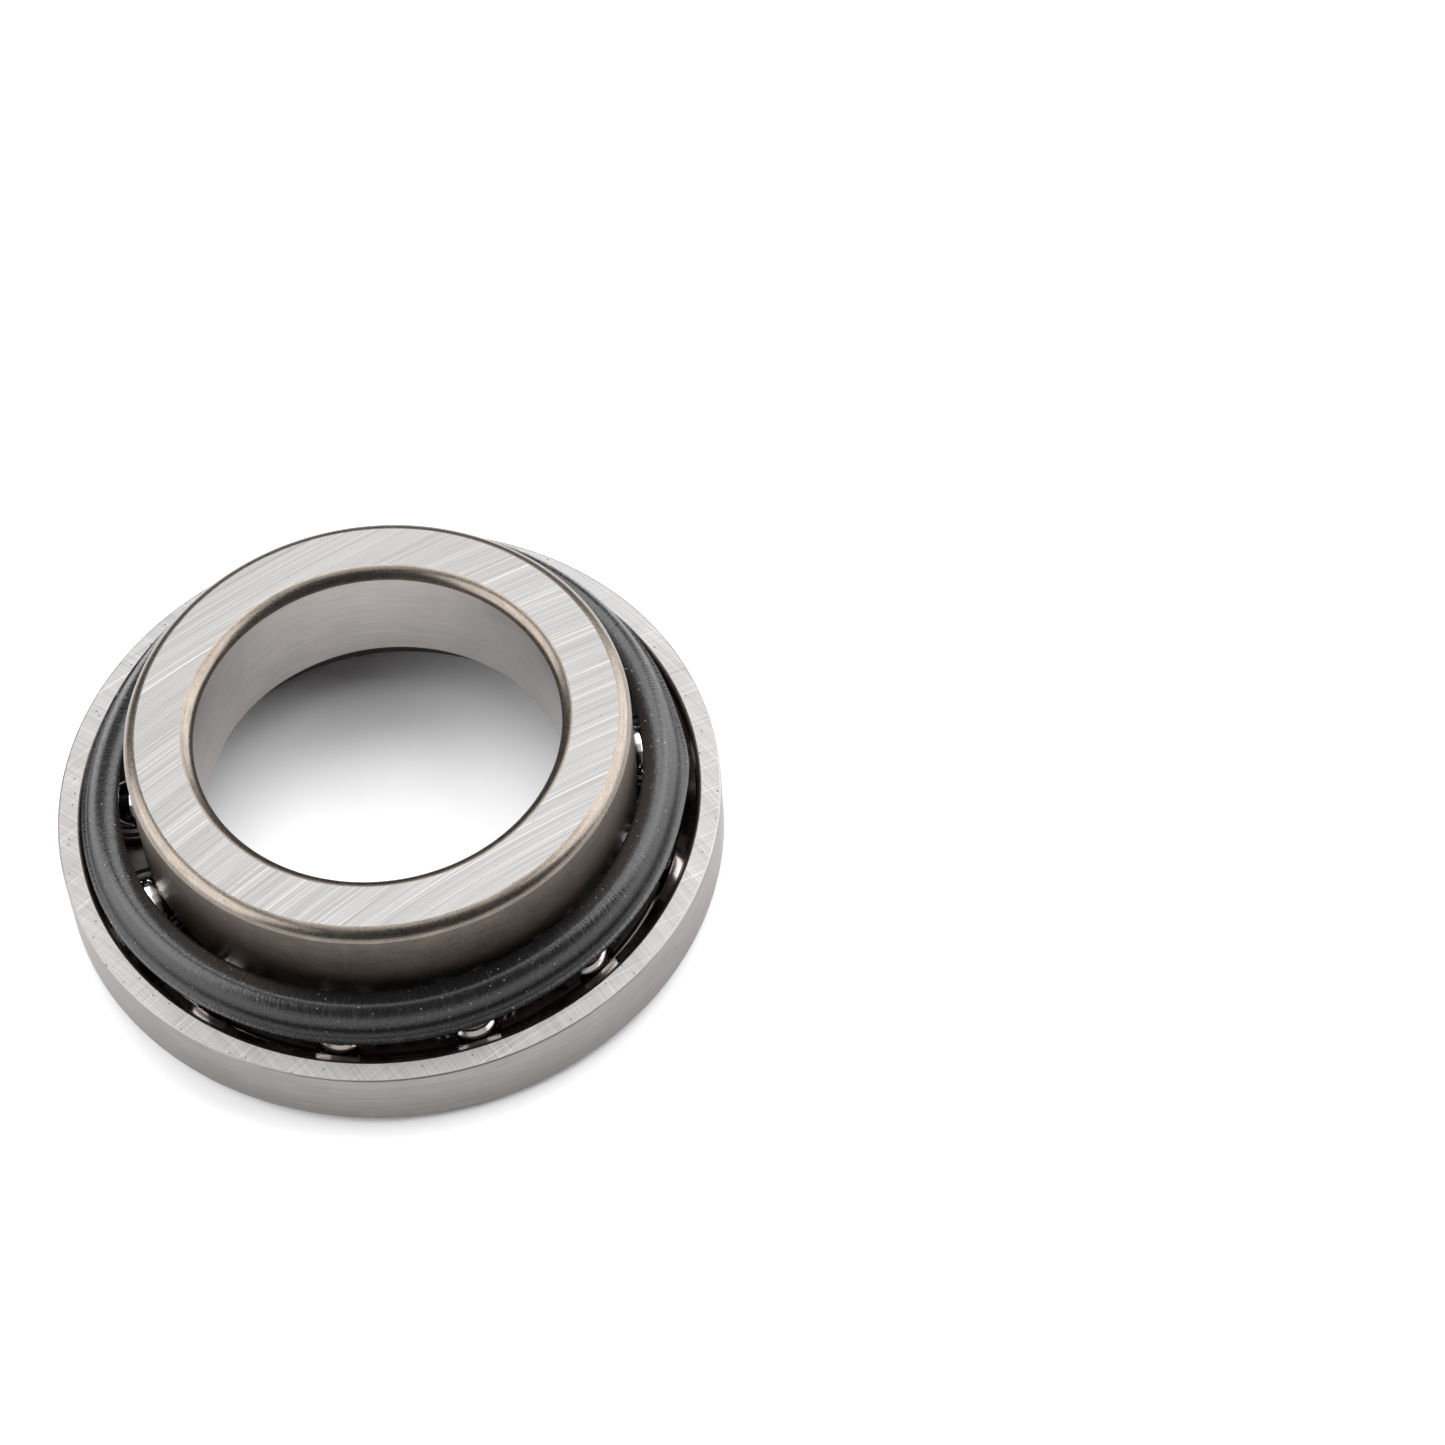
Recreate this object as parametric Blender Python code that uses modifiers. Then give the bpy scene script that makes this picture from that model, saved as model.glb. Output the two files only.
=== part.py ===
"""Separable angular contact ball bearing, 30 x 55 x 17 mm, with a loose rubber dust seal.

The bearing stands on its outer ring, bore axis on world Z, and the outer ring's bottom face is at z = 0.
The inner ring has the high shoulder on top, and the balls carry load along a line that runs from its
raceway down and out to the raceway of the outer ring. A moulded cage spaces the balls. The dust seal
lies loose on the outer ring's face, a little off centre.
"""
import math

import bmesh
import bpy
from mathutils import Matrix, Vector

MM = 0.001

# Boundary sizes
BORE_R = 15.0 * MM
OUTSIDE_R = 27.5 * MM
HEIGHT = 17.0 * MM

# Balls and contact
BALL_COUNT = 13
BALL_R = 2.778 * MM
PITCH_R = 21.4 * MM
BALL_Z = 4.5 * MM
CONTACT_ANGLE = math.radians(40)
FIRST_BALL_ANGLE = math.radians(-126)
GROOVE_R = 2.95 * MM
RUNNING_GAP = 0.08 * MM

# Outer ring
OUTER_FACE_Z = 6.4 * MM
OUTER_EDGE_R = 0.12 * MM
OUTER_FOOT_R = 1.0 * MM
OUTER_LIP_R = 20.6 * MM
SEAL_SEAT_R = 25.35 * MM
SEAL_SEAT_Z = 5.6 * MM
SEAT_CHAMFER = 0.5 * MM
LIP_CHAMFER = 0.5 * MM

# Inner ring
INNER_BOTTOM_Z = 5.4 * MM
INNER_TOP_ROUND = 0.95 * MM
INNER_BOTTOM_CHAMFER = 1.25 * MM
SHOULDER_R = 20.65 * MM
SHOULDER_FILLET_R = 1.0 * MM
SHOULDER_BREAK = 0.2 * MM

# Cage
POCKET_GAP = 0.15 * MM
SWEEP_R = 2.4 * MM
CAGE_INNER_R = 17.6 * MM
CAGE_BOTTOM_Z = BALL_Z - SWEEP_R
CAGE_CHAMFER = 0.3 * MM
WEB_TOP_Z = 4.6 * MM
WEB_OUTER_R = 23.75 * MM
COLLAR_R = 3.75 * MM
COLLAR_TOP_Z = 5.6 * MM
COLLAR_ROOT_Z = 3.9 * MM
COLLAR_INNER_LIMIT = 19.8 * MM
COLLAR_OUTER_LIMIT = 23.65 * MM
COLLAR_ROOM = 0.5 * MM
COLLAR_OVERLAP = 0.1 * MM

# Dust seal
SEAL_INNER_R = 22.25 * MM
SEAL_OUTER_R = 25.5 * MM
SEAL_SHIFT = Vector((-0.67, 1.12, 0)) * MM
SEAL_REST_GAP = 0.3 * MM
SEAL_REST_Z = OUTER_FACE_Z + SEAL_REST_GAP
SEAL_LIP_TOP_Z = SEAL_REST_Z + 0.5 * MM
SEAL_LIP_INNER_R = 24.95 * MM
SEAL_LIP_EDGE = 0.12 * MM
SEAL_GROOVE_R = 24.5 * MM
SEAL_GROOVE_DEPTH = 0.12 * MM
SEAL_CREST_R = 23.0 * MM
SEAL_CREST_Z = 10.05 * MM
SEAL_WALL = 0.9 * MM
SEAL_ARCH_R = 22.45 * MM
SEAL_ARCH_FOOT_R = 24.05 * MM
SEAL_ARCH_FOOT_Z = SEAL_REST_Z + 0.55 * MM
SEAL_BEVEL = 0.35 * MM
SEAL_INNER_EDGE = 0.25 * MM

# Facets
RING_STEPS = 56
ROUNDING_STEP = math.radians(22.5)
RACEWAY_STEP = math.radians(12.5)
QUARTER_STEPS = 5
BALL_SEGMENTS = 16
BALL_RINGS = 8
POCKET_SEGMENTS = 18
POCKET_RINGS = 9
COLLAR_SEGMENTS = 22
MERGE = 1e-6
SHARP_ANGLE = math.radians(35)


def clear_scene():
    for old in list(bpy.data.objects):
        bpy.data.objects.remove(old, do_unlink=True)


def new_collection(name):
    group = bpy.data.collections.new(name)
    bpy.context.scene.collection.children.link(group)
    return group


def finish(name, colour, roughness, metallic):
    """A plain Principled finish of one colour."""
    material = bpy.data.materials.new(name)
    material.use_nodes = True
    shader = material.node_tree.nodes["Principled BSDF"]
    shader.inputs["Base Color"].default_value = (*colour, 1.0)
    shader.inputs["Roughness"].default_value = roughness
    shader.inputs["Metallic"].default_value = metallic
    material.diffuse_color = (*colour, 1.0)
    return material


def arc(centre, radius, start, end, step=ROUNDING_STEP):
    """Points of an arc in the radius-height plane, from angle start to angle end."""
    count = max(1, math.ceil(abs(end - start) / step))
    points = []
    for i in range(count + 1):
        angle = start + (end - start) * i / count
        points.append((centre[0] + radius * math.cos(angle), centre[1] + radius * math.sin(angle)))
    return points


def quarter(centre, across, up, start, end):
    """Points of a quarter ellipse in the radius-height plane, with angles measured from its top."""
    points = []
    for i in range(QUARTER_STEPS + 1):
        angle = start + (end - start) * i / QUARTER_STEPS
        points.append((centre[0] + across * math.sin(angle), centre[1] + up * math.cos(angle)))
    return points


def along_contact(distance):
    """The point at a distance from the ball's centre, on the contact line, outwards and down."""
    return (PITCH_R + distance * math.cos(CONTACT_ANGLE), BALL_Z - distance * math.sin(CONTACT_ANGLE))


def turned(name, outline, group, material, steps=RING_STEPS):
    """A solid of revolution about Z. The outline runs down its outer side and up its inner side."""
    mesh = bpy.data.meshes.new(name)
    bm = bmesh.new()
    corners = [bm.verts.new((radius, 0, height)) for radius, height in outline]
    for corner, following in zip(corners, corners[1:] + corners[:1]):
        bm.edges.new((corner, following))
    bm.to_mesh(mesh)
    bm.free()
    body = bpy.data.objects.new(name, mesh)
    group.objects.link(body)
    screw = body.modifiers.new("turn", "SCREW")
    screw.axis = "Z"
    screw.angle = math.tau
    screw.steps = steps
    screw.render_steps = steps
    screw.use_merge_vertices = True
    screw.merge_threshold = MERGE
    if material:
        mesh.materials.append(material)
    return body


def settle(body):
    """Apply the modifiers, so that sharp edges can be marked on the result."""
    bpy.context.view_layer.update()
    graph = bpy.context.evaluated_depsgraph_get()
    mesh = bpy.data.meshes.new_from_object(body.evaluated_get(graph))
    mesh.name = body.name
    body.modifiers.clear()
    body.data = mesh
    mesh.shade_smooth()
    mesh.set_sharp_from_angle(angle=SHARP_ANGLE)
    return body


def hide_as_tool(body):
    body.hide_render = True
    body.display_type = "WIRE"


def boolean(body, operation, tool):
    cut = body.modifiers.new(operation.lower(), "BOOLEAN")
    cut.operation = operation
    cut.solver = "EXACT"
    cut.object = tool


def ball_angle(index):
    return FIRST_BALL_ANGLE + index * math.tau / BALL_COUNT


def ball_centre(index):
    angle = ball_angle(index)
    return Vector((PITCH_R * math.cos(angle), PITCH_R * math.sin(angle), BALL_Z))


def outer_ring(group, material):
    """The cup: rounded foot, ground faces, a raceway open upwards and a seat for the seal."""
    groove = along_contact(BALL_R + RUNNING_GAP - GROOVE_R)
    outline = arc((OUTSIDE_R - OUTER_EDGE_R, OUTER_FACE_Z - OUTER_EDGE_R), OUTER_EDGE_R, math.pi / 2, 0)
    outline += arc((OUTSIDE_R - OUTER_FOOT_R, OUTER_FOOT_R), OUTER_FOOT_R, 0, -math.pi / 2)
    outline += [(OUTER_LIP_R + LIP_CHAMFER, 0), (OUTER_LIP_R, LIP_CHAMFER)]
    raceway = arc(groove, GROOVE_R, math.radians(-95), math.radians(5), RACEWAY_STEP)
    outline += [(OUTER_LIP_R, raceway[0][1])]
    outline += raceway
    outline += [(SEAL_SEAT_R, SEAL_SEAT_Z), (SEAL_SEAT_R, OUTER_FACE_Z - SEAT_CHAMFER)]
    outline += [(SEAL_SEAT_R + SEAT_CHAMFER, OUTER_FACE_Z)]
    return settle(turned("outer_ring", outline, group, material))


def inner_ring(group, material):
    """The cone: bore, high shoulder with a rounded top edge, and a raceway that faces down and out."""
    groove = along_contact(GROOVE_R - BALL_R - RUNNING_GAP)
    outline = arc((SHOULDER_R - SHOULDER_FILLET_R, HEIGHT - SHOULDER_FILLET_R), SHOULDER_FILLET_R, math.pi / 2, 0)
    raceway_top = math.acos((SHOULDER_R - SHOULDER_BREAK - groove[0]) / GROOVE_R)
    raceway_end = math.pi - math.asin((INNER_BOTTOM_Z - groove[1]) / GROOVE_R)
    raceway = arc(groove, GROOVE_R, raceway_top, raceway_end, RACEWAY_STEP)
    outline += [(SHOULDER_R, raceway[0][1] + SHOULDER_BREAK)]
    outline += raceway
    outline += [(BORE_R + INNER_BOTTOM_CHAMFER, INNER_BOTTOM_Z), (BORE_R, INNER_BOTTOM_Z + INNER_BOTTOM_CHAMFER)]
    outline += arc((BORE_R + INNER_TOP_ROUND, HEIGHT - INNER_TOP_ROUND), INNER_TOP_ROUND, math.pi, math.pi / 2)
    return settle(turned("inner_ring", outline, group, material))


def balls(group, material):
    """Thirteen balls that share one mesh, each about its own centre with its poles on its rolling axis."""
    mesh = bpy.data.meshes.new("ball")
    bm = bmesh.new()
    bmesh.ops.create_uvsphere(bm, u_segments=BALL_SEGMENTS, v_segments=BALL_RINGS, radius=BALL_R)
    bm.to_mesh(mesh)
    bm.free()
    mesh.materials.append(material)
    mesh.shade_smooth()
    for index in range(BALL_COUNT):
        ball = bpy.data.objects.new(f"ball_{index + 1:02d}", mesh)
        ball.location = ball_centre(index)
        ball.rotation_euler = (0, CONTACT_ANGLE, ball_angle(index))
        group.objects.link(ball)


def repeated_tool(name, shape, tools):
    """One cutter that holds the same shape at every ball."""
    mesh = bpy.data.meshes.new(name)
    bm = bmesh.new()
    for index in range(BALL_COUNT):
        place = Matrix.Translation(ball_centre(index)) @ Matrix.Rotation(ball_angle(index), 4, "Z")
        shape(bm, place)
    bm.to_mesh(mesh)
    bm.free()
    tool = bpy.data.objects.new(name, mesh)
    tools.objects.link(tool)
    hide_as_tool(tool)
    return tool


def pocket_shape(bm, place):
    bmesh.ops.create_uvsphere(bm, u_segments=POCKET_SEGMENTS, v_segments=POCKET_RINGS,
                              radius=BALL_R + POCKET_GAP, matrix=place)


def collar_shape(bm, place):
    depth = COLLAR_TOP_Z - COLLAR_ROOT_Z
    middle = Matrix.Translation((0, 0, (COLLAR_TOP_Z + COLLAR_ROOT_Z) / 2 - BALL_Z))
    bmesh.ops.create_cone(bm, cap_ends=True, segments=COLLAR_SEGMENTS, radius1=COLLAR_R, radius2=COLLAR_R,
                          depth=depth, matrix=place @ middle)


def cage_underside():
    """The cage's lower outline: round the raceway at an even distance, then flat to its bore."""
    outer_angle = -math.acos((WEB_OUTER_R - PITCH_R) / SWEEP_R)
    outline = arc((PITCH_R, BALL_Z), SWEEP_R, outer_angle, -math.pi / 2)
    outline += [(CAGE_INNER_R + CAGE_CHAMFER, CAGE_BOTTOM_Z), (CAGE_INNER_R, CAGE_BOTTOM_Z + CAGE_CHAMFER)]
    return outline


def cage(group, tools, material):
    """A base ring under the inner ring, webs between the balls, and a raised collar round each pocket."""
    web = [(WEB_OUTER_R, WEB_TOP_Z)] + cage_underside() + [(CAGE_INNER_R, WEB_TOP_Z)]
    body = turned("cage", web, group, material)
    room_top = COLLAR_TOP_Z + COLLAR_ROOM
    room_bottom = COLLAR_ROOT_Z + COLLAR_OVERLAP
    room = [(COLLAR_OUTER_LIMIT, room_top), (COLLAR_OUTER_LIMIT, room_bottom)]
    room += [(COLLAR_INNER_LIMIT, room_bottom), (COLLAR_INNER_LIMIT, room_top)]
    space = turned("collar_room", room, tools, None)
    hide_as_tool(space)
    collars = repeated_tool("collars", collar_shape, tools)
    pockets = repeated_tool("pockets", pocket_shape, tools)
    boolean(collars, "INTERSECT", space)
    boolean(body, "UNION", collars)
    boolean(body, "DIFFERENCE", pockets)
    return settle(body)


def dust_seal(group, material):
    """A moulded rubber ring: a thin flat lip, a groove, a domed wall and a bevel down to its inner edge."""
    outline = [(SEAL_OUTER_R - SEAL_LIP_EDGE, SEAL_LIP_TOP_Z), (SEAL_OUTER_R, SEAL_LIP_TOP_Z - 2 * SEAL_LIP_EDGE),
               (SEAL_OUTER_R - SEAL_LIP_EDGE, SEAL_REST_Z), (SEAL_LIP_INNER_R, SEAL_REST_Z)]
    arch_top = SEAL_CREST_Z - SEAL_WALL
    outline += quarter((SEAL_ARCH_R, SEAL_ARCH_FOOT_Z), SEAL_ARCH_FOOT_R - SEAL_ARCH_R,
                       arch_top - SEAL_ARCH_FOOT_Z, math.pi / 2, 0)
    outline += [(SEAL_INNER_R, arch_top + SEAL_INNER_EDGE),
                (SEAL_INNER_R, SEAL_CREST_Z - SEAL_BEVEL)]
    groove_z = SEAL_LIP_TOP_Z - SEAL_GROOVE_DEPTH
    outline += quarter((SEAL_CREST_R, groove_z), SEAL_GROOVE_R - SEAL_CREST_R,
                       SEAL_CREST_Z - groove_z, 0, math.pi / 2)
    outline += [(SEAL_GROOVE_R + 2 * SEAL_GROOVE_DEPTH, SEAL_LIP_TOP_Z)]
    seal = settle(turned("dust_seal", outline, group, material))
    seal.location = SEAL_SHIFT
    return seal


def build():
    clear_scene()
    group = new_collection("angular_contact_bearing")
    tools = new_collection("cutters")
    outer_ring(group, finish("ground_steel_outer", (0.62, 0.61, 0.60), 0.32, 1.0))
    inner_ring(group, finish("ground_steel_inner", (0.66, 0.65, 0.64), 0.28, 1.0))
    balls(group, finish("polished_ball_steel", (0.82, 0.82, 0.83), 0.06, 1.0))
    cage(group, tools, finish("moulded_polyamide", (0.035, 0.022, 0.016), 0.45, 0.0))
    dust_seal(group, finish("nitrile_rubber", (0.02, 0.02, 0.022), 0.5, 0.0))


build()
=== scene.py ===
"""Looks of a separable angular contact ball bearing, 30 x 55 x 17 mm.

Two ground steel rings, thirteen polished balls in a moulded cage and a loose rubber dust seal lie on
a pale table under four softboxes. All is in metres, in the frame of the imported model: the bore
axis is world Z and the outer ring stands on z = 0.
"""

import math

import bmesh
import bpy
from mathutils import Matrix, Vector, noise


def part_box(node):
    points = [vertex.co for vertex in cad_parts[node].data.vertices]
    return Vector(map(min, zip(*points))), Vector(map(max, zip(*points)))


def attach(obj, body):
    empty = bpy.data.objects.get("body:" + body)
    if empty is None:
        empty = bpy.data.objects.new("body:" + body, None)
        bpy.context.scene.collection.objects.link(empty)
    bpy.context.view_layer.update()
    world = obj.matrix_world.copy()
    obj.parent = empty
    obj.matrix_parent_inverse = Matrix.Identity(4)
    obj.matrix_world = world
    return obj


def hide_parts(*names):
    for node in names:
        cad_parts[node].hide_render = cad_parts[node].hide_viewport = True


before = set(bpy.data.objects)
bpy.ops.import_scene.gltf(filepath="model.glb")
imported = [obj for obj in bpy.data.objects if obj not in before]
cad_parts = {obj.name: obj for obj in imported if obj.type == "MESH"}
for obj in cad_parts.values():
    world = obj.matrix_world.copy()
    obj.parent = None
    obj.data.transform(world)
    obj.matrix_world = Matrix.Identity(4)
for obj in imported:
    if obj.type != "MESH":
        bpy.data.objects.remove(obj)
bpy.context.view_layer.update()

MM = 0.001

# Sizes read from the frame
OUTER_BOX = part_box("outer_ring")
INNER_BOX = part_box("inner_ring")
CAGE_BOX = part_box("cage")
SEAL_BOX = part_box("dust_seal")
OUTSIDE_R = OUTER_BOX[1].x
OUTER_FACE_Z = OUTER_BOX[1].z
SHOULDER_R = INNER_BOX[1].x
HEIGHT = INNER_BOX[1].z
INNER_BOTTOM_Z = INNER_BOX[0].z
BALL_NAMES = sorted(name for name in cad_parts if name.startswith("ball_"))
BALL_CENTRES = [sum(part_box(name), Vector()) / 2 for name in BALL_NAMES]
PITCH_R = BALL_CENTRES[0].xy.length
BALL_Z = BALL_CENTRES[0].z
SEAL_CENTRE = Vector(((SEAL_BOX[0].x + SEAL_BOX[1].x) / 2, (SEAL_BOX[0].y + SEAL_BOX[1].y) / 2, 0))
SEAL_OUTER_R = (SEAL_BOX[1].x - SEAL_BOX[0].x) / 2
SEAL_REST_Z = SEAL_BOX[0].z
SEAL_CREST_Z = SEAL_BOX[1].z

# Bearing geometry that the boxes don't give
BORE_R = 15.0 * MM
BALL_R = 2.778 * MM
CONTACT_ANGLE = math.radians(40)
GROOVE_R = 2.95 * MM
RUNNING_GAP = 0.08 * MM

# Outer ring
OUTER_EDGE = 0.14 * MM
OUTER_EDGE_R = 1.1 * OUTER_EDGE
OUTER_FOOT = 1.0 * MM
OUTER_FOOT_R = 1.15 * MM
OUTER_LIP_R = 20.6 * MM
LIP_CHAMFER = 0.5 * MM
SEAL_SEAT_R = 25.35 * MM
SEAL_SEAT_Z = 5.6 * MM
SEAT_CHAMFER = 0.5 * MM
SEAT_EDGE_R = 1.3 * SEAT_CHAMFER
CUP_RACEWAY_START = math.radians(-95)
CUP_RACEWAY_END = math.radians(5)

# Inner ring
SHOULDER_ROUND = 1.0 * MM
SHOULDER_ROUND_R = 1.18 * MM
BORE_ROUND = 0.95 * MM
BORE_ROUND_R = 1.1 * MM
SHOULDER_BREAK = 0.2 * MM
BOTTOM_CHAMFER = 1.25 * MM

# Cage
POCKET_GAP = 0.15 * MM
SWEEP_R = BALL_Z - CAGE_BOX[0].z
CAGE_TOP_Z = CAGE_BOX[1].z
CAGE_INNER_R = 17.6 * MM
CAGE_CHAMFER = 0.3 * MM
WEB_TOP_Z = 4.6 * MM
WEB_OUTER_R = 23.75 * MM
COLLAR_R = 3.75 * MM
COLLAR_ROOT_Z = 3.9 * MM
COLLAR_LIMITS = (19.8 * MM, 23.65 * MM)
COLLAR_ROUND = 0.12 * MM
RIDGE_GROOVE_R = 3.3 * MM
RIDGE_GROOVE = 0.22 * MM
PIN_MARK_R = 0.42 * MM
PIN_MARK_AT_R = 22.75 * MM
PIN_MARK_DEPTH = 0.12 * MM
CAGE_MERGE = MM / 1000

# Dust seal
SEAL_INNER_R = 22.1 * MM
SEAL_LIP_TOP_Z = SEAL_REST_Z + 0.5 * MM
SEAL_LIP_INNER_R = 24.95 * MM
SEAL_LIP_EDGE = 0.12 * MM
SEAL_LIP_EDGE_R = 0.2 * MM
SEAL_GROOVE_R = 24.5 * MM
SEAL_GROOVE_DEPTH = 0.12 * MM
SEAL_CREST_R = 23.6 * MM
SEAL_DOME_R = 25.0 * MM
SEAL_WALL = 0.9 * MM
SEAL_ARCH_R = 22.45 * MM
SEAL_ARCH_FOOT_R = 24.05 * MM
SEAL_ARCH_FOOT_Z = SEAL_REST_Z + 0.55 * MM
SEAL_SLOPE = 0.5 * MM
SEAL_SLOPE_ROUND = 2.3 * MM
SEAL_RIM_EDGE = 0.08 * MM
SEAL_INNER_EDGE = 0.10 * MM
SEAL_DOME_END = math.radians(68)
SEAL_FOOT_R = 1.5 * MM

# How the seal sags: its wave up and down, its sway in and out, and where it is pressed or stands out
SEAL_WAVE = 0.10 * MM
SEAL_WAVE_TURNS = 1.3
SEAL_WAVE_START = Vector((4.1, 0.7, 2.3))
SEAL_SWAY = 0.06 * MM
SEAL_SWAY_TURNS = 2.1
SEAL_SWAY_START = Vector((0.4, 7.7, 1.9))
LEFT_PRESS = 0.95 * MM
LEFT_PRESS_ANGLE = math.radians(163)
RIGHT_PRESS = 0.3 * MM
RIGHT_PRESS_ANGLE = math.radians(16)
PRESS_WIDTH = math.radians(38)
LEFT_ROLL = 0.5
LIP_BULGE_ANGLE = math.radians(2)
LIP_BULGE_WIDTH = math.radians(9)
LIP_BULGE_OUT = 0.3 * MM
LIP_BULGE_UP = 0.22 * MM

# Finish: the centres of the circles that the grinding wheel's lines follow across the ring faces
BORE_AXIS = (0, 0, 0)
OUTER_WHEELS = [(-92 * MM, -92 * MM, 0), (75 * MM, -106 * MM, 0)]
INNER_WHEELS = [(66 * MM, -96 * MM, 0)]
WHEEL_REACH = 130 * MM

# Facets, and how a face is told to be level, upright or at a surface
RING_STEPS = 288
CAGE_STEPS = 144
COLLAR_STEPS = 48
BALL_SEGMENTS = 64
POCKET_SEGMENTS = 48
PIN_MARK_SEGMENTS = 24
ARC_STEPS = 14
EDGE_STEPS = 4
RACEWAY_STEPS = 24
DOME_STEPS = 22
SHARP_ANGLE = math.radians(26)
MERGE = 1e-8
LEVEL = 0.99
UPRIGHT = 0.01
NEAR = MM / 10


# Materials

def srgb(code):
    """Linear colour from a hex code such as C8C4BF."""
    channels = [int(code[i:i + 2], 16) / 255 for i in (0, 2, 4)]
    linear = [c / 12.92 if c <= 0.04045 else ((c + 0.055) / 1.055) ** 2.4 for c in channels]
    return (*linear, 1.0)


def add(tree, kind, settings=None, inputs=None):
    """Add one node. An input, by name or place, is an output to link or a value to set."""
    made = tree.nodes.new("ShaderNode" + kind)
    for name, value in (settings or {}).items():
        setattr(made, name, value)
    for key, value in (inputs or {}).items():
        if isinstance(value, bpy.types.NodeSocket):
            tree.links.new(value, made.inputs[key])
        else:
            made.inputs[key].default_value = value
    return made


def new_finish(name, metallic=0.0):
    """An empty material: its node tree and its shader, already joined to the output."""
    material = bpy.data.materials.new(name)
    material.use_nodes = True
    tree = material.node_tree
    shader = tree.nodes["Principled BSDF"]
    shader.inputs["Metallic"].default_value = metallic
    return material, tree, shader


def dress(tree, shader, colour, worn, smooth, rough, low=0.3, high=0.7, relief=None, depth=0.0):
    """Join a finish: its colour, a roughness that follows how worn it is, and a relief of some depth."""
    tree.links.new(colour, shader.inputs["Base Color"])
    roughness = add(tree, "MapRange", {"clamp": True}, {
        "Value": worn, "From Min": low, "From Max": high, "To Min": smooth, "To Max": rough})
    tree.links.new(roughness.outputs[0], shader.inputs["Roughness"])
    if relief is not None:
        bump = add(tree, "Bump", None, {"Strength": 1.0, "Distance": depth, "Height": relief})
        tree.links.new(bump.outputs[0], shader.inputs["Normal"])


def toned(tree, pattern, first, second, low=0.0, high=1.0, most=1.0):
    """A colour from the first towards the second, as far as most, as a pattern goes from low to high."""
    share = add(tree, "MapRange", {"clamp": True}, {
        "Value": pattern, "From Min": low, "From Max": high, "To Min": 0.0, "To Max": most})
    mix = add(tree, "Mix", {"data_type": "RGBA"}, {0: share.outputs[0], 6: first, 7: second})
    return mix.outputs[2]


def layered(tree, pattern, *layers):
    """A pattern with others laid over it, each with its share."""
    for layer, share in layers:
        total = add(tree, "Math", {"operation": "MULTIPLY_ADD"}, {0: layer, 1: share, 2: pattern})
        pattern = total.outputs[0]
    return pattern


def from_axis(tree, centre):
    """A point seen from a vertical axis: its way from the centre, that way's level part, and its heading."""
    place = add(tree, "TexCoord").outputs["Object"]
    moved = add(tree, "VectorMath", {"operation": "SUBTRACT"}, {0: place, 1: centre}).outputs[0]
    flat = add(tree, "VectorMath", {"operation": "MULTIPLY"}, {0: moved, 1: (1, 1, 0)}).outputs[0]
    heading = add(tree, "VectorMath", {"operation": "NORMALIZE"}, {0: flat}).outputs[0]
    return moved, flat, heading


def tool_marks(tree, centre, spacing, run, reach, detail=2.0):
    """Fine lines on circles about a vertical axis: spacing apart and run long, at a reach from the axis."""
    moved, flat, heading = from_axis(tree, centre)
    radius = add(tree, "VectorMath", {"operation": "LENGTH"}, {0: flat}).outputs["Value"]
    around = add(tree, "VectorMath", {"operation": "SCALE"}, {0: heading, "Scale": reach / run}).outputs[0]
    across = add(tree, "Math", {"operation": "DIVIDE"}, {0: radius, 1: spacing}).outputs[0]
    lift = add(tree, "CombineXYZ", None, {"Z": across}).outputs[0]
    both = add(tree, "VectorMath", {"operation": "ADD"}, {0: around, 1: lift}).outputs[0]
    height = add(tree, "SeparateXYZ", None, {0: moved}).outputs["Z"]
    level = add(tree, "Math", {"operation": "DIVIDE"}, {0: height, 1: spacing}).outputs[0]
    marks = add(tree, "TexNoise", {"noise_dimensions": "4D"}, {
        "Vector": both, "W": level, "Scale": 1.0, "Detail": detail, "Roughness": 0.6})
    return marks.outputs[0]


def clouds(tree, size, detail=3.0):
    """Soft mottling of about the given size."""
    place = add(tree, "TexCoord").outputs["Object"]
    cloud = add(tree, "TexNoise", None, {"Vector": place, "Scale": 1 / size, "Detail": detail})
    return cloud.outputs[0]


def specks(tree, spacing, size, room, rarity=0.72):
    """Sparse small dots, from 1 in a dot to 0 between dots. The room is 2D for level faces, or 3D."""
    place = add(tree, "TexCoord").outputs["Object"]
    cells = add(tree, "TexVoronoi", {"voronoi_dimensions": room}, {
        "Vector": place, "Scale": 1 / spacing, "Randomness": 1.0})
    dots = add(tree, "MapRange", {"clamp": True}, {
        "Value": cells.outputs["Distance"], "From Min": 0.3 * size / spacing, "From Max": size / spacing,
        "To Min": 1.0, "To Max": 0.0})
    pick = add(tree, "SeparateColor", None, {0: cells.outputs["Color"]}).outputs[0]
    chosen = add(tree, "Math", {"operation": "GREATER_THAN"}, {0: pick, 1: rarity}).outputs[0]
    return add(tree, "Math", {"operation": "MULTIPLY"}, {0: dots.outputs[0], 1: chosen}).outputs[0]


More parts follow.
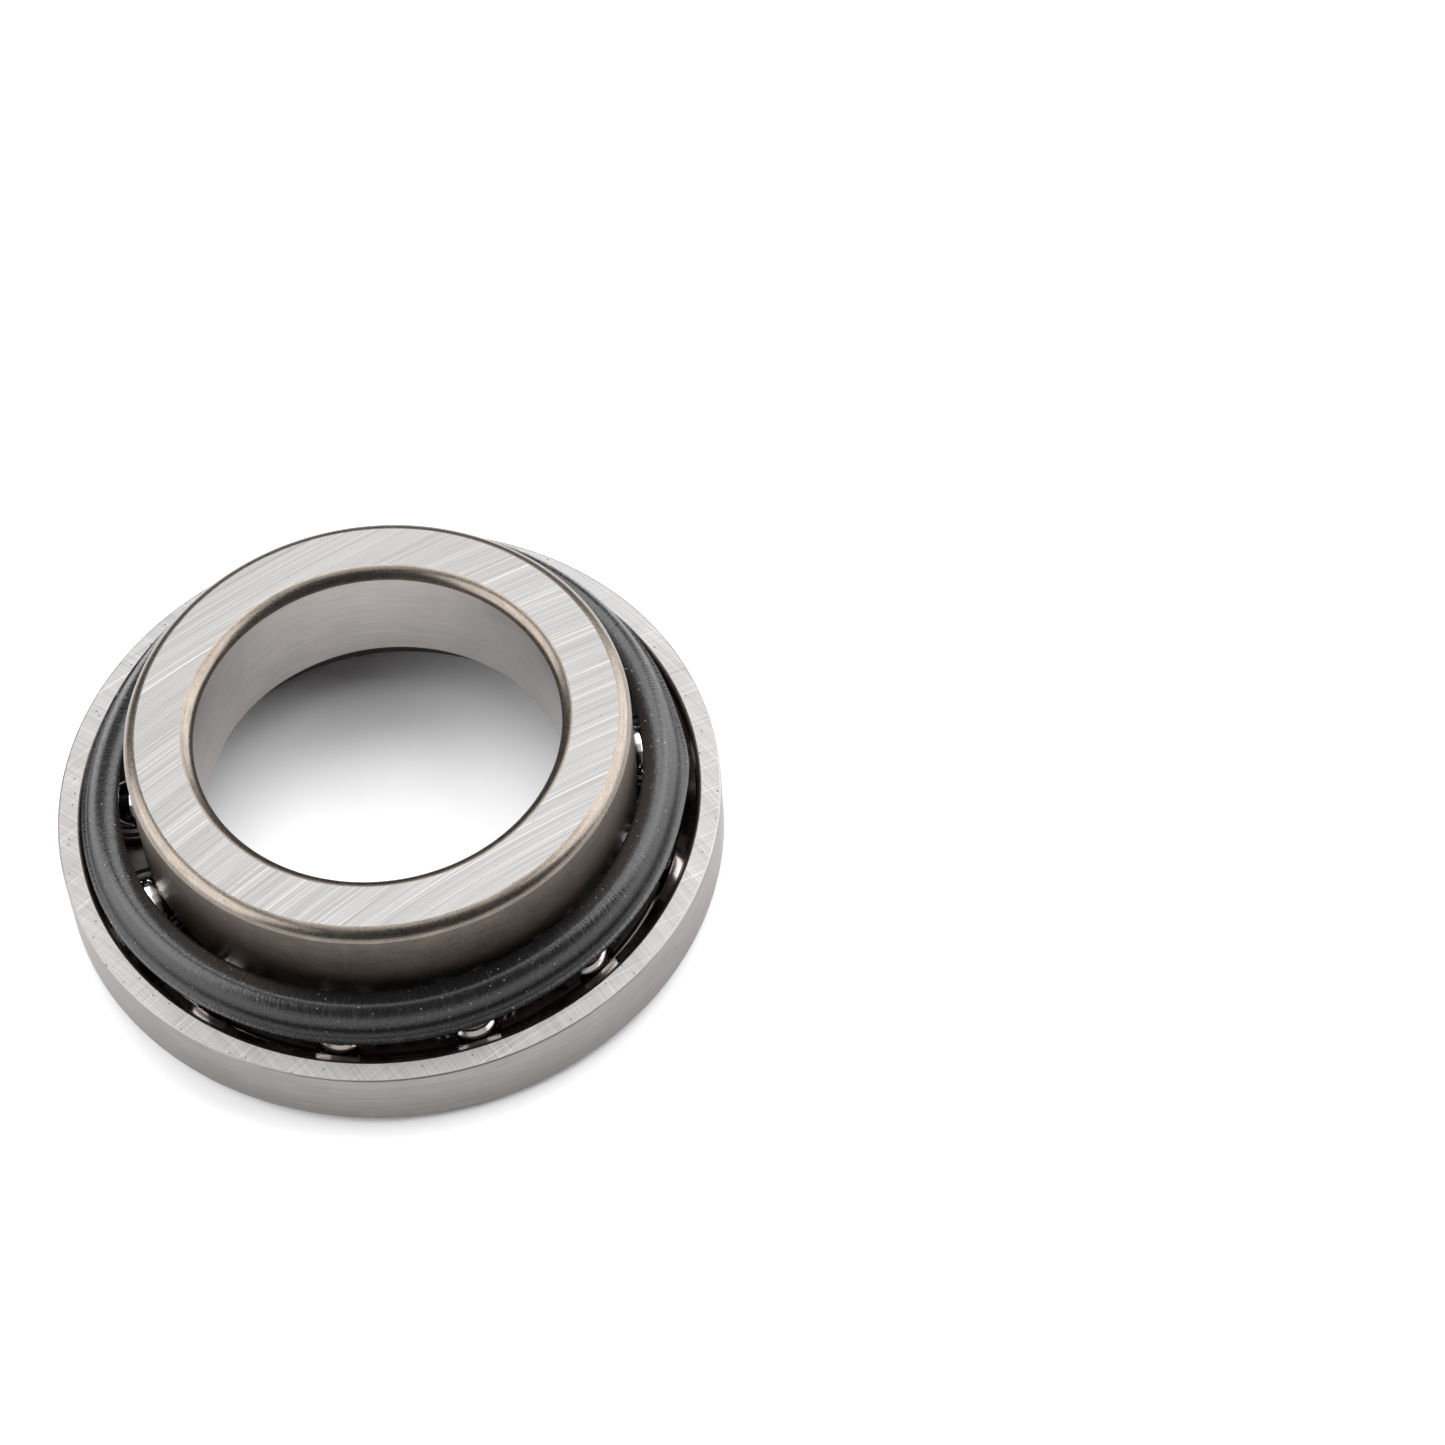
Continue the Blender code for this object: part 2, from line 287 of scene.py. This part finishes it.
def ground_face_steel(name, dark, light, wheels, pits, scoring):
    """Face-ground bearing steel: long fine lines left by the wheel's edge, a few deep ones painted with
    glints and shade, and small pits painted dark as shade.

    Scoring, from 0 to 1, is how strongly the deep lines show. The lines of real grinding are finer than
    these, which are as coarse as they need to be to show.
    """
    material, tree, shader = new_finish(name, metallic=1.0)
    fine = tool_marks(tree, wheels[0], spacing=0.10 * MM, run=16 * MM, reach=WHEEL_REACH, detail=1.0)
    broad = tool_marks(tree, wheels[0], spacing=0.7 * MM, run=40 * MM, reach=WHEEL_REACH, detail=1.0)
    deep = tool_marks(tree, wheels[-1], spacing=0.12 * MM, run=22 * MM, reach=WHEEL_REACH, detail=0.0)
    dots = specks(tree, spacing=1.3 * MM, size=pits, room="2D")
    steel = toned(tree, layered(tree, fine, (broad, 0.45)), srgb(dark), srgb(light), low=0.45)
    # Painted light: the deep lines are painted bright towards C4C4C4 as painted glints, and dark towards
    # 4C4A48 as painted shade in the grooves.
    scores_with_painted_glints = toned(tree, deep, steel, srgb("C4C4C4"), low=0.62, high=0.80, most=scoring)
    cut = toned(tree, deep, scores_with_painted_glints, srgb("4C4A48"), low=0.36, high=0.20, most=scoring)
    # Painted shade: the pits are painted dark towards 4A4744, as shade in the hollows.
    pits_with_painted_shade = toned(tree, dots, cut, srgb("4A4744"))
    relief = layered(tree, fine, (deep, scoring), (dots, -3.0))
    dress(tree, shader, pits_with_painted_shade, broad, smooth=0.44, rough=0.54, relief=relief, depth=0.002 * MM)
    return material


def satin_ground_steel(name, dark, light, rough):
    """Round-ground bearing steel, outside and in the bore: an even satin grey with faint lines round it."""
    material, tree, shader = new_finish(name, metallic=1.0)
    lines = tool_marks(tree, BORE_AXIS, spacing=0.16 * MM, run=6 * MM, reach=OUTSIDE_R)
    mottle = clouds(tree, 2.5 * MM)
    stains = specks(tree, spacing=2.2 * MM, size=0.16 * MM, room="3D")
    steel = toned(tree, layered(tree, lines, (mottle, 0.5)), srgb(dark), srgb(light), low=0.45, high=1.05)
    stained = toned(tree, stains, steel, srgb("4A4642"))
    dress(tree, shader, stained, mottle, smooth=rough - 0.04, rough=rough + 0.05,
          relief=lines, depth=0.003 * MM)
    return material


def hard_turned_steel(name, dark, light, rough):
    """Hard-turned bearing steel, tinted brown by the heat: a soft sheen with fine rings and flecks. On the
    outer ring's seat, its dark colours are painted shade instead.
    """
    material, tree, shader = new_finish(name, metallic=1.0)
    lines = tool_marks(tree, BORE_AXIS, spacing=0.12 * MM, run=2.5 * MM, reach=SHOULDER_R)
    mottle = clouds(tree, 2.2 * MM)
    grit = clouds(tree, 0.16 * MM, detail=1.0)
    tint = layered(tree, lines, (grit, 0.8), (mottle, 0.6))
    steel = toned(tree, tint, srgb(dark), srgb(light), low=0.8, high=1.6)
    relief = layered(tree, lines, (grit, 0.5))
    dress(tree, shader, steel, grit, smooth=rough - 0.03, rough=rough + 0.04,
          relief=relief, depth=0.0012 * MM)
    return material


def honed_raceway_steel(name, dark, light, rough):
    """Honed raceway: a fine sheen with very fine rings."""
    material, tree, shader = new_finish(name, metallic=1.0)
    lines = tool_marks(tree, BORE_AXIS, spacing=0.10 * MM, run=12 * MM, reach=PITCH_R)
    steel = toned(tree, lines, srgb(dark), srgb(light))
    dress(tree, shader, steel, lines, smooth=rough - 0.03, rough=rough + 0.05,
          relief=lines, depth=0.0012 * MM)
    return material


def lapped_ball_steel():
    """Lapped chrome steel: a clean mirror with a trace of oil haze."""
    material, tree, shader = new_finish("lapped_ball_steel", metallic=1.0)
    haze = clouds(tree, 0.9 * MM)
    steel = toned(tree, haze, srgb("D2D1D0"), srgb("E6E6E7"))
    dress(tree, shader, steel, haze, smooth=0.035, rough=0.09, low=0.35, high=0.75)
    return material


def oiled_polyamide():
    """Moulded brown polyamide with a film of oil: nearly black, with a brown glow and a faint gloss."""
    material, tree, shader = new_finish("oiled_polyamide")
    mottle = clouds(tree, 1.4 * MM)
    brown = toned(tree, mottle, srgb("0C0705"), srgb("1D110B"))
    pebble = clouds(tree, 0.35 * MM)
    dress(tree, shader, brown, mottle, smooth=0.42, rough=0.6, relief=pebble, depth=0.01 * MM)
    shader.inputs["IOR"].default_value = 1.53
    shader.inputs["Coat Weight"].default_value = 0.06
    shader.inputs["Coat Roughness"].default_value = 0.2
    return material


def moulded_nitrile():
    """Moulded black nitrile rubber: soft sheen, fine creases across the ring, and specks of dust."""
    material, tree, shader = new_finish("moulded_nitrile")
    moved, _, heading = from_axis(tree, SEAL_CENTRE)
    around = add(tree, "VectorMath", {"operation": "SCALE"}, {
        0: heading, "Scale": SEAL_CREST_R / (0.22 * MM)}).outputs[0]
    along = add(tree, "VectorMath", {"operation": "SCALE"}, {0: moved, "Scale": 1 / (1.6 * MM)}).outputs[0]
    bent = add(tree, "VectorMath", {"operation": "ADD"}, {0: around, 1: along}).outputs[0]
    creases = add(tree, "TexNoise", None, {"Vector": bent, "Scale": 1.0, "Detail": 2.0}).outputs[0]
    grain = clouds(tree, 0.2 * MM)
    worn = clouds(tree, 7 * MM)
    dust = specks(tree, spacing=0.55 * MM, size=0.09 * MM, room="3D")
    black = toned(tree, worn, srgb("0D0D0E"), srgb("1C1C1E"))
    creased = toned(tree, creases, black, srgb("48484A"), low=0.62, high=0.8, most=0.5)
    dusty = toned(tree, dust, creased, srgb("8C8A86"))
    relief = layered(tree, creases, (grain, 0.8))
    rubbed = layered(tree, creases, (grain, 0.6))
    dress(tree, shader, dusty, rubbed, smooth=0.20, rough=0.40, low=0.55, high=1.05,
          relief=relief, depth=0.03 * MM)
    shader.inputs["IOR"].default_value = 1.5
    return material


def matt_table_board():
    """Matt white laminate: plain and pale, with barely visible unevenness."""
    material, tree, shader = new_finish("matt_table_board")
    white = toned(tree, clouds(tree, 60 * MM), srgb("F2F2F4"), srgb("F6F6F7"))
    tree.links.new(white, shader.inputs["Base Color"])
    shader.inputs["Roughness"].default_value = 0.7
    shader.inputs["Specular IOR Level"].default_value = 0.2
    return material


# Shapes

def arc(centre, radius, start, end, steps):
    """Points of an arc in the radius-height plane, from angle start to angle end."""
    angles = [start + (end - start) * i / steps for i in range(steps + 1)]
    return [(centre[0] + radius * math.cos(a), centre[1] + radius * math.sin(a)) for a in angles]


def rounding(start, end, radius, steps):
    """Points from start to end on an arc of the radius, bulging to the left of the way."""
    first, last = Vector(start), Vector(end)
    half = (last - first) / 2
    left = Vector((-half.y, half.x)).normalized()
    centre = first + half - left * math.sqrt(radius ** 2 - half.length_squared)
    sweep = 2 * math.asin(half.length / radius)
    begin = math.atan2(first.y - centre.y, first.x - centre.x)
    return arc(centre, radius, begin, begin - sweep, steps)


def elliptic(centre, across, up, start, end, steps):
    """Points of a stretch of an ellipse in the radius-height plane, with angles measured from its top."""
    angles = [start + (end - start) * i / steps for i in range(steps + 1)]
    return [(centre[0] + across * math.sin(a), centre[1] + up * math.cos(a)) for a in angles]


def along_contact(distance):
    """The point at a distance from the ball's centre, on the contact line, outwards and down."""
    return (PITCH_R + distance * math.cos(CONTACT_ANGLE), BALL_Z - distance * math.sin(CONTACT_ANGLE))


def turn(bm, outline, steps):
    """Spin a closed outline about Z into a solid ring with its faces outwards."""
    corners = [bm.verts.new((radius, 0, height)) for radius, height in outline]
    edges = [bm.edges.new(pair) for pair in zip(corners, corners[1:] + corners[:1])]
    bmesh.ops.spin(bm, geom=corners + edges, axis=(0, 0, 1), cent=(0, 0, 0),
                   angle=math.tau, steps=steps, use_merge=True)
    bmesh.ops.remove_doubles(bm, verts=bm.verts, dist=MERGE)
    bmesh.ops.recalc_face_normals(bm, faces=bm.faces)


def crisp(bm):
    """Smooth shading, with a crisp line at sharp corners and where one finish meets another."""
    for face in bm.faces:
        face.smooth = True
    for edge in bm.edges:
        if len(edge.link_faces) == 2:
            first, second = edge.link_faces
            same_finish = first.material_index == second.material_index
            edge.smooth = same_finish and edge.calc_face_angle(0) < SHARP_ANGLE


def piece_from(name, bm, finishes=()):
    """Write the shape to a new object and give it its finishes. A shape that only cuts or joins has none."""
    mesh = bpy.data.meshes.new(name)
    bm.to_mesh(mesh)
    bm.free()
    for finish in finishes:
        mesh.materials.append(finish)
    piece = bpy.data.objects.new(name, mesh)
    bpy.context.scene.collection.objects.link(piece)
    return piece


def fit(piece, body, node):
    """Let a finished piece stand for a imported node, on that node's body."""
    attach(piece, body)
    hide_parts(node)


def make_outer_ring():
    """The cup: ground faces, a satin outside with a rounded foot, and a raceway open upwards."""
    groove = along_contact(BALL_R + RUNNING_GAP - GROOVE_R)
    outline = rounding((OUTSIDE_R - OUTER_EDGE, OUTER_FACE_Z), (OUTSIDE_R, OUTER_FACE_Z - OUTER_EDGE),
                       OUTER_EDGE_R, EDGE_STEPS)
    outline += rounding((OUTSIDE_R, OUTER_FOOT), (OUTSIDE_R - OUTER_FOOT, 0), OUTER_FOOT_R, ARC_STEPS)
    outline += [(OUTER_LIP_R + LIP_CHAMFER, 0), (OUTER_LIP_R, LIP_CHAMFER)]
    raceway = arc(groove, GROOVE_R, CUP_RACEWAY_START, CUP_RACEWAY_END, RACEWAY_STEPS)
    outline += [(OUTER_LIP_R, raceway[0][1])]
    outline += raceway
    outline += [(SEAL_SEAT_R, SEAL_SEAT_Z), (SEAL_SEAT_R, OUTER_FACE_Z - SEAT_CHAMFER)]
    outline += rounding((SEAL_SEAT_R, OUTER_FACE_Z - SEAT_CHAMFER),
                        (SEAL_SEAT_R + SEAT_CHAMFER, OUTER_FACE_Z), SEAT_EDGE_R, EDGE_STEPS * 2)[1:]
    bm = bmesh.new()
    turn(bm, outline, RING_STEPS)
    ground, outside, honed, seat = range(4)
    for face in bm.faces:
        middle = face.calc_center_median()
        at_an_end = middle.z > OUTER_FACE_Z - NEAR or middle.z < NEAR
        if at_an_end and abs(face.normal.z) > LEVEL:
            face.material_index = ground
        elif middle.xy.length > SEAL_SEAT_R + SEAT_CHAMFER:
            face.material_index = outside
        # The seat ledge inside the cup gets a darker steel: its dark is painted shade.
        elif middle.xy.length > raceway[-1][0] and middle.z > SEAL_SEAT_Z - NEAR:
            face.material_index = seat
        else:
            face.material_index = honed
    crisp(bm)
    finishes = [ground_face_steel("ground_outer_face_steel", "7B7A79", "949392", OUTER_WHEELS,
                                  pits=0.11 * MM, scoring=0.25),
                satin_ground_steel("satin_outside_steel", "787572", "908D8A", 0.4),
                honed_raceway_steel("honed_cup_steel", "918A86", "ABA4A0", 0.2),
                # The seat's dark steel colour is painted shade, not a heat tint.
                hard_turned_steel("seat_steel_painted_shade", "47423F", "5F5955", 0.34)]
    fit(piece_from("outer_ring_turned", bm, finishes), "outer_ring", "outer_ring")


def make_inner_ring():
    """The cone: bright ground faces, a satin bore, a heat-tinted shoulder and a raceway below it."""
    groove = along_contact(GROOVE_R - BALL_R - RUNNING_GAP)
    outline = rounding((SHOULDER_R - SHOULDER_ROUND, HEIGHT), (SHOULDER_R, HEIGHT - SHOULDER_ROUND),
                       SHOULDER_ROUND_R, ARC_STEPS)
    raceway_top = math.acos((SHOULDER_R - SHOULDER_BREAK - groove[0]) / GROOVE_R)
    raceway_end = math.pi - math.asin((INNER_BOTTOM_Z - groove[1]) / GROOVE_R)
    raceway = arc(groove, GROOVE_R, raceway_top, raceway_end, RACEWAY_STEPS)
    outline += [(SHOULDER_R, raceway[0][1] + SHOULDER_BREAK)]
    outline += raceway
    outline += [(BORE_R + BOTTOM_CHAMFER, INNER_BOTTOM_Z), (BORE_R, INNER_BOTTOM_Z + BOTTOM_CHAMFER)]
    outline += rounding((BORE_R, HEIGHT - BORE_ROUND), (BORE_R + BORE_ROUND, HEIGHT),
                        BORE_ROUND_R, ARC_STEPS)
    bm = bmesh.new()
    turn(bm, outline, RING_STEPS)
    ground, shoulder_edge, bore_edge, bore, shoulder, honed = range(6)
    for face in bm.faces:
        middle = face.calc_center_median()
        radius = middle.xy.length
        at_an_end = middle.z > HEIGHT - NEAR or middle.z < INNER_BOTTOM_Z + NEAR
        if at_an_end and abs(face.normal.z) > LEVEL:
            face.material_index = ground
        elif middle.z > HEIGHT - SHOULDER_ROUND and radius > BORE_R + BORE_ROUND:
            face.material_index = shoulder_edge
        elif middle.z > HEIGHT - BORE_ROUND:
            face.material_index = bore_edge
        elif abs(face.normal.z) < UPRIGHT and radius < BORE_R + NEAR:
            face.material_index = bore
        elif abs(face.normal.z) < UPRIGHT:
            face.material_index = shoulder
        else:
            face.material_index = honed
    crisp(bm)
    finishes = [ground_face_steel("ground_inner_face_steel", "777675", "8C8B8A", INNER_WHEELS,
                                  pits=0.05 * MM, scoring=0.34),
                hard_turned_steel("turned_shoulder_round_steel", "5F5852", "857D74", 0.3),
                hard_turned_steel("turned_bore_round_steel", "5B544E", "817970", 0.3),
                satin_ground_steel("ground_bore_steel", "A9A5A2", "C0BCB9", 0.32),
                hard_turned_steel("tinted_shoulder_steel", "5F5650", "837970", 0.32),
                honed_raceway_steel("honed_cone_steel", "8F8A85", "AFAAA5", 0.2)]
    fit(piece_from("inner_ring_turned", bm, finishes), "inner_ring", "inner_ring")


def make_balls():
    """Thirteen lapped balls, each in its place."""
    steel = lapped_ball_steel()
    for name, centre in zip(BALL_NAMES, BALL_CENTRES):
        bm = bmesh.new()
        bmesh.ops.create_uvsphere(bm, u_segments=BALL_SEGMENTS, v_segments=BALL_SEGMENTS // 2,
                                  radius=BALL_R, matrix=Matrix.Translation(centre))
        crisp(bm)
        fit(piece_from("lapped_" + name, bm, [steel]), name, name)


def ball_places():
    """Each ball's centre as a place whose X axis points away from the bore axis."""
    for centre in BALL_CENTRES:
        yield Matrix.Translation(centre) @ Matrix.Rotation(math.atan2(centre.y, centre.x), 4, "Z")


def combine(body, operation, tool):
    """Join, cut or intersect the body with a loose shape, then throw the shape away."""
    step = body.modifiers.new(operation.lower(), "BOOLEAN")
    step.operation = operation
    step.solver = "EXACT"
    step.object = tool
    bpy.context.view_layer.update()
    graph = bpy.context.evaluated_depsgraph_get()
    result = bpy.data.meshes.new_from_object(body.evaluated_get(graph))
    body.modifiers.clear()
    body.data = result
    bpy.data.objects.remove(tool)


def collar_outline():
    """Half a collar's section about its ball's vertical axis: a wall with a groove in its top."""
    top, root = CAGE_TOP_Z - BALL_Z, COLLAR_ROOT_Z - BALL_Z
    return [(0.0, top), (RIDGE_GROOVE_R - RIDGE_GROOVE, top), (RIDGE_GROOVE_R, top - RIDGE_GROOVE),
            (RIDGE_GROOVE_R + RIDGE_GROOVE, top), (COLLAR_R - COLLAR_ROUND, top),
            (COLLAR_R, top - COLLAR_ROUND), (COLLAR_R, root), (0.0, root)]


def make_cage():
    """The moulded cage: a base ring, webs between the balls, grooved collars and ejector pin marks."""
    outer_angle = -math.acos((WEB_OUTER_R - PITCH_R) / SWEEP_R)
    web = [(WEB_OUTER_R, WEB_TOP_Z)]
    web += arc((PITCH_R, BALL_Z), SWEEP_R, outer_angle, -math.pi / 2, ARC_STEPS)
    web += [(CAGE_INNER_R + CAGE_CHAMFER, CAGE_BOX[0].z), (CAGE_INNER_R, CAGE_BOX[0].z + CAGE_CHAMFER),
            (CAGE_INNER_R, WEB_TOP_Z)]
    bm = bmesh.new()
    turn(bm, web, CAGE_STEPS)
    body = piece_from("moulded_cage", bm)

    bm = bmesh.new()
    for place in ball_places():
        outline = collar_outline()
        corners = [bm.verts.new(place @ Vector((radius, 0, height))) for radius, height in outline]
        edges = [bm.edges.new(pair) for pair in zip(corners, corners[1:])]
        bmesh.ops.spin(bm, geom=corners + edges, axis=(0, 0, 1), cent=place.translation,
                       angle=math.tau, steps=COLLAR_STEPS, use_merge=True)
    bmesh.ops.remove_doubles(bm, verts=bm.verts, dist=MERGE)
    bmesh.ops.recalc_face_normals(bm, faces=bm.faces)
    collars = piece_from("collars", bm)

    inner_limit, outer_limit = COLLAR_LIMITS
    bm = bmesh.new()
    turn(bm, [(outer_limit, CAGE_TOP_Z + MM), (outer_limit, COLLAR_ROOT_Z + NEAR),
              (inner_limit, COLLAR_ROOT_Z + NEAR), (inner_limit, CAGE_TOP_Z + MM)], CAGE_STEPS)
    combine(collars, "INTERSECT", piece_from("collar_room", bm))
    combine(body, "UNION", collars)

    bm = bmesh.new()
    half_pitch = Matrix.Rotation(math.pi / len(BALL_CENTRES), 4, "Z")
    for place in ball_places():
        bmesh.ops.create_uvsphere(bm, u_segments=POCKET_SEGMENTS, v_segments=POCKET_SEGMENTS // 2,
                                  radius=BALL_R + POCKET_GAP, matrix=place)
        out = place.to_3x3() @ Vector((PIN_MARK_AT_R, 0, 0))
        mark = half_pitch @ Matrix.Translation((out.x, out.y, WEB_TOP_Z))
        bmesh.ops.create_cone(bm, cap_ends=True, segments=PIN_MARK_SEGMENTS, radius1=PIN_MARK_R,
                              radius2=PIN_MARK_R, depth=2 * PIN_MARK_DEPTH, matrix=mark)
    combine(body, "DIFFERENCE", piece_from("pockets", bm))

    bm = bmesh.new()
    bm.from_mesh(body.data)
    bpy.data.objects.remove(body)
    bmesh.ops.remove_doubles(bm, verts=bm.verts, dist=CAGE_MERGE)
    crisp(bm)
    fit(piece_from("moulded_cage", bm, [oiled_polyamide()]), "cage", "cage")


def bump_at(angle, middle, width):
    """A smooth hump round a circle: 1 at the middle angle, near 0 past the width."""
    off = math.remainder(angle - middle, math.tau)
    return math.exp(-(off / width) ** 2)


def sag_seal(bm):
    """A soft ring never lies quite true: it waves, is pressed in at the sides, and its lip stands out."""
    for vert in bm.verts:
        angle = math.atan2(vert.co.y, vert.co.x)
        radius = vert.co.xy.length
        heading = Vector((math.cos(angle), math.sin(angle), 0))
        vert.co.z += SEAL_WAVE * noise.noise(heading * SEAL_WAVE_TURNS + SEAL_WAVE_START)
        vert.co += heading * SEAL_SWAY * noise.noise(heading * SEAL_SWAY_TURNS + SEAL_SWAY_START)
        lip = max(0.0, (radius - SEAL_GROOVE_R) / (SEAL_OUTER_R - SEAL_GROOVE_R))
        pressed = bump_at(angle, LEFT_PRESS_ANGLE, PRESS_WIDTH)
        crown = max(0.0, (vert.co.z - SEAL_LIP_TOP_Z) / (SEAL_CREST_Z - SEAL_LIP_TOP_Z))
        vert.co.z -= LEFT_ROLL * pressed * crown * (radius - SEAL_INNER_R)
        vert.co -= heading * LEFT_PRESS * pressed
        vert.co -= heading * RIGHT_PRESS * bump_at(angle, RIGHT_PRESS_ANGLE, PRESS_WIDTH)
        squeezed = bump_at(angle, LIP_BULGE_ANGLE, LIP_BULGE_WIDTH) * lip
        vert.co += heading * LIP_BULGE_OUT * squeezed
        vert.co.z += LIP_BULGE_UP * squeezed


def make_seal():
    """The dust seal: a thin flat lip, a groove, a domed wall and a bevel down to its inner edge."""
    outline = rounding((SEAL_OUTER_R - SEAL_LIP_EDGE, SEAL_LIP_TOP_Z),
                       (SEAL_OUTER_R, SEAL_LIP_TOP_Z - 2 * SEAL_LIP_EDGE), SEAL_LIP_EDGE_R, EDGE_STEPS)
    outline += [(SEAL_OUTER_R - SEAL_LIP_EDGE, SEAL_REST_Z), (SEAL_LIP_INNER_R, SEAL_REST_Z)]
    arch_top = SEAL_CREST_Z - SEAL_WALL
    outline += elliptic((SEAL_ARCH_R, SEAL_ARCH_FOOT_Z), SEAL_ARCH_FOOT_R - SEAL_ARCH_R,
                       arch_top - SEAL_ARCH_FOOT_Z, math.pi / 2, 0, DOME_STEPS)
    outline += [(SEAL_INNER_R, arch_top + SEAL_INNER_EDGE)]
    outline += [(SEAL_INNER_R, SEAL_CREST_Z - SEAL_SLOPE - SEAL_RIM_EDGE)]
    outline += rounding((SEAL_INNER_R + SEAL_RIM_EDGE, SEAL_CREST_Z - SEAL_SLOPE),
                        (SEAL_CREST_R, SEAL_CREST_Z), SEAL_SLOPE_ROUND, EDGE_STEPS * 2)[:-1]
    groove_z = SEAL_LIP_TOP_Z - SEAL_GROOVE_DEPTH
    outline += elliptic((SEAL_CREST_R, groove_z), SEAL_DOME_R - SEAL_CREST_R,
                       SEAL_CREST_Z - groove_z, 0, SEAL_DOME_END, DOME_STEPS)
    foot = Vector(outline[-1])
    outline += rounding((SEAL_OUTER_R - 2 * SEAL_LIP_EDGE, SEAL_LIP_TOP_Z - SEAL_LIP_EDGE / 4), foot,
                        SEAL_FOOT_R, EDGE_STEPS * 2)[-2:0:-1]
    bm = bmesh.new()
    turn(bm, outline, RING_STEPS)
    sag_seal(bm)
    bmesh.ops.translate(bm, verts=bm.verts, vec=SEAL_CENTRE)
    crisp(bm)
    fit(piece_from("moulded_dust_seal", bm, [moulded_nitrile()]), "dust_seal", "dust_seal")


# Studio

CAMERA_PLACE = Vector((41.25, -223.93, 333.91)) * MM
CAMERA_HEADING = math.radians(3.389)
CAMERA_TILT = math.radians(35.176)
CAMERA_ROLL = math.radians(-4.253)
CAMERA_LENS = 119.87
SENSOR_WIDTH = 36.0
TABLE_HALF = 2.5
SOFTBOX_DISTANCE = 0.50
ROOM_GLOW = 0.14


def make_camera():
    """A long lens that looks down on the bearing from the front, a little to the right."""
    lens = bpy.data.cameras.new("camera")
    lens.lens = CAMERA_LENS
    lens.sensor_width = SENSOR_WIDTH
    lens.clip_start = 0.01
    lens.clip_end = 50
    camera = bpy.data.objects.new("camera", lens)
    turned = (Matrix.Rotation(CAMERA_HEADING, 4, "Z") @ Matrix.Rotation(CAMERA_TILT, 4, "X")
              @ Matrix.Rotation(CAMERA_ROLL, 4, "Z"))
    camera.matrix_world = Matrix.Translation(CAMERA_PLACE) @ turned
    bpy.context.scene.collection.objects.link(camera)
    bpy.context.scene.camera = camera


def softbox(name, bearing, rise, size, brightness):
    """A softbox that faces the object, from a bearing round Z and a rise above the table, in degrees."""
    bearing, rise = math.radians(bearing), math.radians(rise)
    level = math.cos(rise)
    away = Vector((math.cos(bearing) * level, math.sin(bearing) * level, math.sin(rise)))
    lamp = bpy.data.lights.new(name, "AREA")
    lamp.shape = "RECTANGLE"
    lamp.size, lamp.size_y = size
    lamp.energy = brightness * math.pi * size[0] * size[1]
    box = bpy.data.objects.new(name, lamp)
    facing = away.to_track_quat("Z", "Y").to_matrix().to_4x4()
    box.matrix_world = Matrix.Translation(away * SOFTBOX_DISTANCE) @ facing
    bpy.context.scene.collection.objects.link(box)


def make_studio():
    """A pale table under four softboxes in a dim room."""
    bm = bmesh.new()
    bmesh.ops.create_grid(bm, x_segments=1, y_segments=1, size=TABLE_HALF)
    table = piece_from("table", bm, [matt_table_board()])
    softbox("left_softbox", bearing=191, rise=27, size=(0.60, 0.54), brightness=4.2)
    softbox("right_softbox", bearing=25, rise=33, size=(0.56, 0.60), brightness=4.6)
    softbox("back_softbox", bearing=101, rise=57, size=(0.34, 0.38), brightness=4.4)
    softbox("overhead_softbox", bearing=101, rise=86, size=(0.40, 0.40), brightness=1.5)
    room = bpy.data.worlds.new("dim_room")
    room.use_nodes = True
    air = room.node_tree.nodes["Background"]
    air.inputs["Color"].default_value = srgb("F4F4F6")
    air.inputs["Strength"].default_value = ROOM_GLOW
    bpy.context.scene.world = room
    bpy.context.scene.view_settings.view_transform = "Standard"


make_camera()
make_studio()
make_outer_ring()
make_inner_ring()
make_balls()
make_cage()
make_seal()
